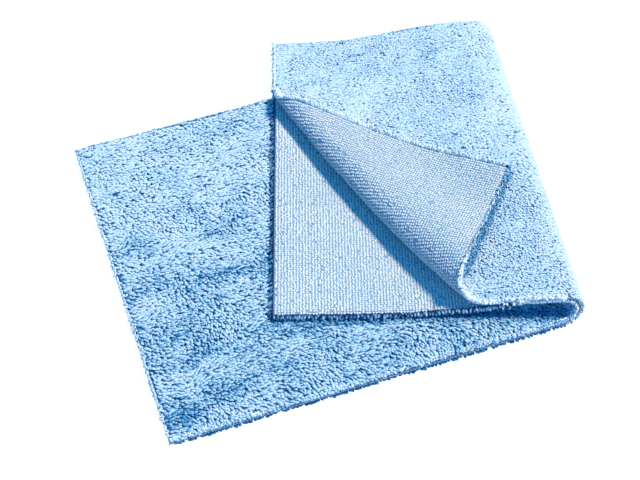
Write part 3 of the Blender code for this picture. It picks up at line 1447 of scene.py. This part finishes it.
def bare_material(name: str) -> tuple[Material, Tree]:
    """Make a material with its shader, and return it and its nodes.

    Args:
        name: The material's name.

    Returns:
        The material and its nodes.
    """
    material = bpy.data.materials.new(name)
    material.use_nodes = True
    return material, material.node_tree


def group_node(tree: Tree, name: str) -> bpy.types.Node:
    """Place one of the shared groups.

    Args:
        tree: Where the nodes go.
        name: The group's name.

    Returns:
        The node that holds it.
    """
    node = tree.nodes.new("ShaderNodeGroup")
    node.node_tree = bpy.data.node_groups[name]
    return node


@dataclass(frozen=True)
class Finish:
    """A dull fabric finish, whose colour darkens down into the pile as painted shade.

    Attributes:
        name: The material's name.
        depth_shade: Colour in the depth of the pile, a painted shade.
        body: Colour halfway up.
        crest: Colour of the tips.
        patches: How far wide patches shift the tone.
        flecks: How far fine flecks shift it.
        rough: Roughness.
        sheen: Sheen of the fine fibres.
    """

    name: str
    depth_shade: Colour
    body: Colour
    crest: Colour
    patches: float
    flecks: float
    rough: float = 0.85
    sheen: float = 0.15

    def dress(self, tree: Tree, level: Socket, height: Socket, strength: float,
              depth: float) -> None:
        """Give the shader its colours, its surface and its even values.

        Args:
            tree: The material's nodes.
            level: Level from the depth of the pile to its tips.
            height: Height of the surface's fine relief.
            strength: How strongly that relief shows.
            depth: Its depth, in metres.
        """
        shader = tree.nodes["Principled BSDF"]
        for name, value in (("Roughness", self.rough), ("Specular IOR Level", 0.12),
                            ("Sheen Weight", self.sheen), ("Sheen Roughness", 0.45),
                            ("Sheen Tint", (0.72, 0.88, 1.0)),
                            ("Base Color", self.ramp(tree, level))):
            plug(tree, value, shader.inputs[name])
        bump = tree.nodes.new("ShaderNodeBump")
        for name, value in (("Strength", strength), ("Distance", depth), ("Height", height)):
            plug(tree, value, bump.inputs[name])
        tree.links.new(bump.outputs[0], shader.inputs["Normal"])

    def ramp(self, tree: Tree, level: Socket) -> Socket:
        """Return the colour at a level from the depth of the pile to its tips, with painted shade
        at the depth.

        Args:
            tree: Where the nodes go.
            level: How near the tips, which is kept from 0 to 1.

        Returns:
            The colour.
        """
        level = math_node(tree, "MAXIMUM", math_node(tree, "MINIMUM", level, 1.0), 0.0)
        lower = math_node(tree, "MINIMUM", math_node(tree, "MULTIPLY", level, 2.2), 1.0)
        upper = math_node(tree, "MAXIMUM", math_node(tree, "MULTIPLY_ADD", level, 1.9, -0.9), 0.0)
        return mix_node(tree, upper, mix_node(tree, lower, self.depth_shade, self.body), self.crest)

    def uneven(self, tree: Tree, level: Socket) -> Socket:
        """Return a level shifted by wide patches and fine flecks.

        Args:
            tree: Where the nodes go.
            level: The level to shift.

        Returns:
            The shifted level.
        """
        mottle = group_node(tree, "Mottle")
        for name, much in (("Patch", self.patches), ("Fleck", self.flecks)):
            shift = math_node(tree, "MULTIPLY_ADD", mottle.outputs[name], much, -much / 2)
            level = math_node(tree, "ADD", level, shift)
        return level

    def pile(self) -> Material:
        """Make the finish for pile, which reads each tuft's tone and height; the tone carries
        painted light and shade, and the height paints shade towards the root.

        Returns:
            The finished material.
        """
        material, tree = bare_material(self.name)
        tone, level = flat_place(tree, "pile")
        shift = math_node(tree, "MULTIPLY_ADD", tone, 1.5, -0.75)
        level = math_node(tree, "ADD", self.uneven(tree, level), shift)
        self.dress(tree, level, noise_node(tree, 1900.0, 2.0), 0.5, 0.0003)
        return material

    def knit(self) -> Material:
        """Make the finish for the knitted ground, which shows its rows, with painted shade in the
        grooves between them.

        Returns:
            The finished material.
        """
        material, tree = bare_material(self.name)
        rows = group_node(tree, "Knit Rows").outputs["Height"]
        self.dress(tree, self.uneven(tree, rows), rows, 0.9, 0.0005)
        return material


PLUSH = Finish("plush_loops", (0.016, 0.215, 0.460), (0.380, 0.600, 0.825),
               (0.545, 0.700, 0.865), 0.36, 0.50)
# The edge loops' finish is the plush with darker painted shade and lighter painted highlights.
FRINGE_LIGHT_AND_SHADE = Finish("fringe_loops_painted_light_and_shade", (0.004, 0.040, 0.140), (0.240, 0.470, 0.740),
                (0.700, 0.820, 0.930), 0.20, 0.30)
SHORT = Finish("short_loops", (0.300, 0.470, 0.640), (0.585, 0.675, 0.760),
               (0.715, 0.765, 0.800), 0.20, 0.12)
# The plush face's ground is a darker copy of the knitted ground: painted shade between the tufts.
SHADED_PLUSH_GROUND = Finish("plush_ground_painted_shade", (0.010, 0.100, 0.300), (0.040, 0.190, 0.460),
                      (0.120, 0.330, 0.620), 0.20, 0.20, rough=0.90, sheen=0.10)
SHORT_GROUND = Finish("short_ground", (0.150, 0.310, 0.510), (0.290, 0.460, 0.635),
                      (0.460, 0.590, 0.725), 0.20, 0.20, rough=0.90, sheen=0.10)


@dataclass
class Studio:
    """A plain pale floor, one soft key light and the camera.

    Attributes:
        folding: The way the cloth lies, for the camera's own measurements.
        azimuth: Where the camera stands round the cloth, in degrees.
        elevation: Its angle over the floor, in degrees.
        distance: Its distance from what it looks at.
        target: What it looks at, in the folding's own plan.
        lens: Its lens, in millimetres on a 36 mm sensor.
        key_way: The way to the key light: right, away and up from the camera.
        key: The key light's colour.
        key_power: The key light's strength.
        key_spread: The key light's angle, in degrees.
        fill: Colour of the light from all round.
        fill_power: Its strength.
    """

    folding: Folding
    azimuth: float = -19.3
    elevation: float = 53.74
    distance: float = 0.78
    target: tuple[float, float] = (0.1130, 0.0957)
    lens: float = 79.3
    key_way: tuple[float, float, float] = (0.58, 0.10, 1.0)
    key: Colour = (1.0, 0.82, 0.58)
    key_power: float = 4.9
    key_spread: float = 8.0
    fill: Colour = (0.05, 0.48, 1.0)
    fill_power: float = 0.76

    def link(self, name: str, data: bpy.types.ID, way: Vector) -> Piece:
        """Add a camera or a light that looks back along a way.

        Args:
            name: The object's name.
            data: The camera or the light.
            way: The way from what it looks at.

        Returns:
            The new object.
        """
        thing = bpy.data.objects.new(name, data)
        thing.rotation_mode = "QUATERNION"
        thing.rotation_quaternion = way.to_track_quat("Z", "Y")
        bpy.context.scene.collection.objects.link(thing)
        return thing

    def build(self) -> None:
        """Make the camera, the lights and the floor."""
        scene = bpy.context.scene
        turn, rise = math.radians(self.azimuth), math.radians(self.elevation)
        back = Vector((math.sin(turn) * math.cos(rise), -math.cos(turn) * math.cos(rise),
                       math.sin(rise)))
        camera = bpy.data.cameras.new("camera")
        camera.lens = self.lens
        camera.sensor_width = 36.0
        aim = Vector(self.target) - self.folding.origin
        scene.camera = self.link("camera", camera, back)
        scene.camera.location = aim.to_3d() + back * self.distance

        right, away, up = self.key_way
        way = Vector((right * math.cos(turn) - away * math.sin(turn),
                      right * math.sin(turn) + away * math.cos(turn), up))
        lamp = bpy.data.lights.new("key", "SUN")
        lamp.energy = self.key_power
        lamp.color = self.key
        lamp.angle = math.radians(self.key_spread)
        self.link("key", lamp, way)

        scene.world = bpy.data.worlds.new("room")
        scene.world.use_nodes = True
        sky = scene.world.node_tree.nodes["Background"]
        sky.inputs["Color"].default_value = (*self.fill, 1.0)
        sky.inputs["Strength"].default_value = self.fill_power
        scene.view_settings.view_transform = "Standard"
        self.floor()

    def floor(self) -> None:
        """Lay the plain pale floor."""
        bm = bmesh.new()
        bmesh.ops.create_grid(bm, x_segments=1, y_segments=1, size=2.5)
        mesh = bpy.data.meshes.new("floor")
        bm.to_mesh(mesh)
        bm.free()
        material, tree = bare_material("pale_floor")
        for name, value in (("Base Color", (0.35, 0.35, 0.35)), ("Roughness", 0.9),
                            ("Emission Color", (1.0, 1.0, 1.0)), ("Emission Strength", 0.92)):
            plug(tree, value, tree.nodes["Principled BSDF"].inputs[name])
        mesh.materials.append(material)
        floor = bpy.data.objects.new("floor", mesh)
        bpy.context.scene.collection.objects.link(floor)
        floor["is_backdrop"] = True


def main() -> None:
    """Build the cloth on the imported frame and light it."""
    logging.basicConfig(level=logging.INFO, format="%(name)s: %(message)s")
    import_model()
    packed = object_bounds()
    folding = Folding()
    folding.settle_in(packed[0])
    Studio(folding).build()
    mottle_group()
    knit_group()
    ground = GroundKnit(folding).build(SHADED_PLUSH_GROUND.knit(), SHORT_GROUND.knit())
    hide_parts("cloth")
    LOG.info("ground: %d faces", len(ground.data.polygons))
    grower = Grower(folding, Shelter(ground))
    plush = PlushCoat(folding).build(grower, Comb(PARTINGS), PLUSH.pile())
    plush.append(EdgeCoat(folding).build(grower, FRINGE_LIGHT_AND_SHADE.pile()))
    short = ShortCoat(folding).build(grower, SHORT.pile())


if __name__ == "__main__":
    main()
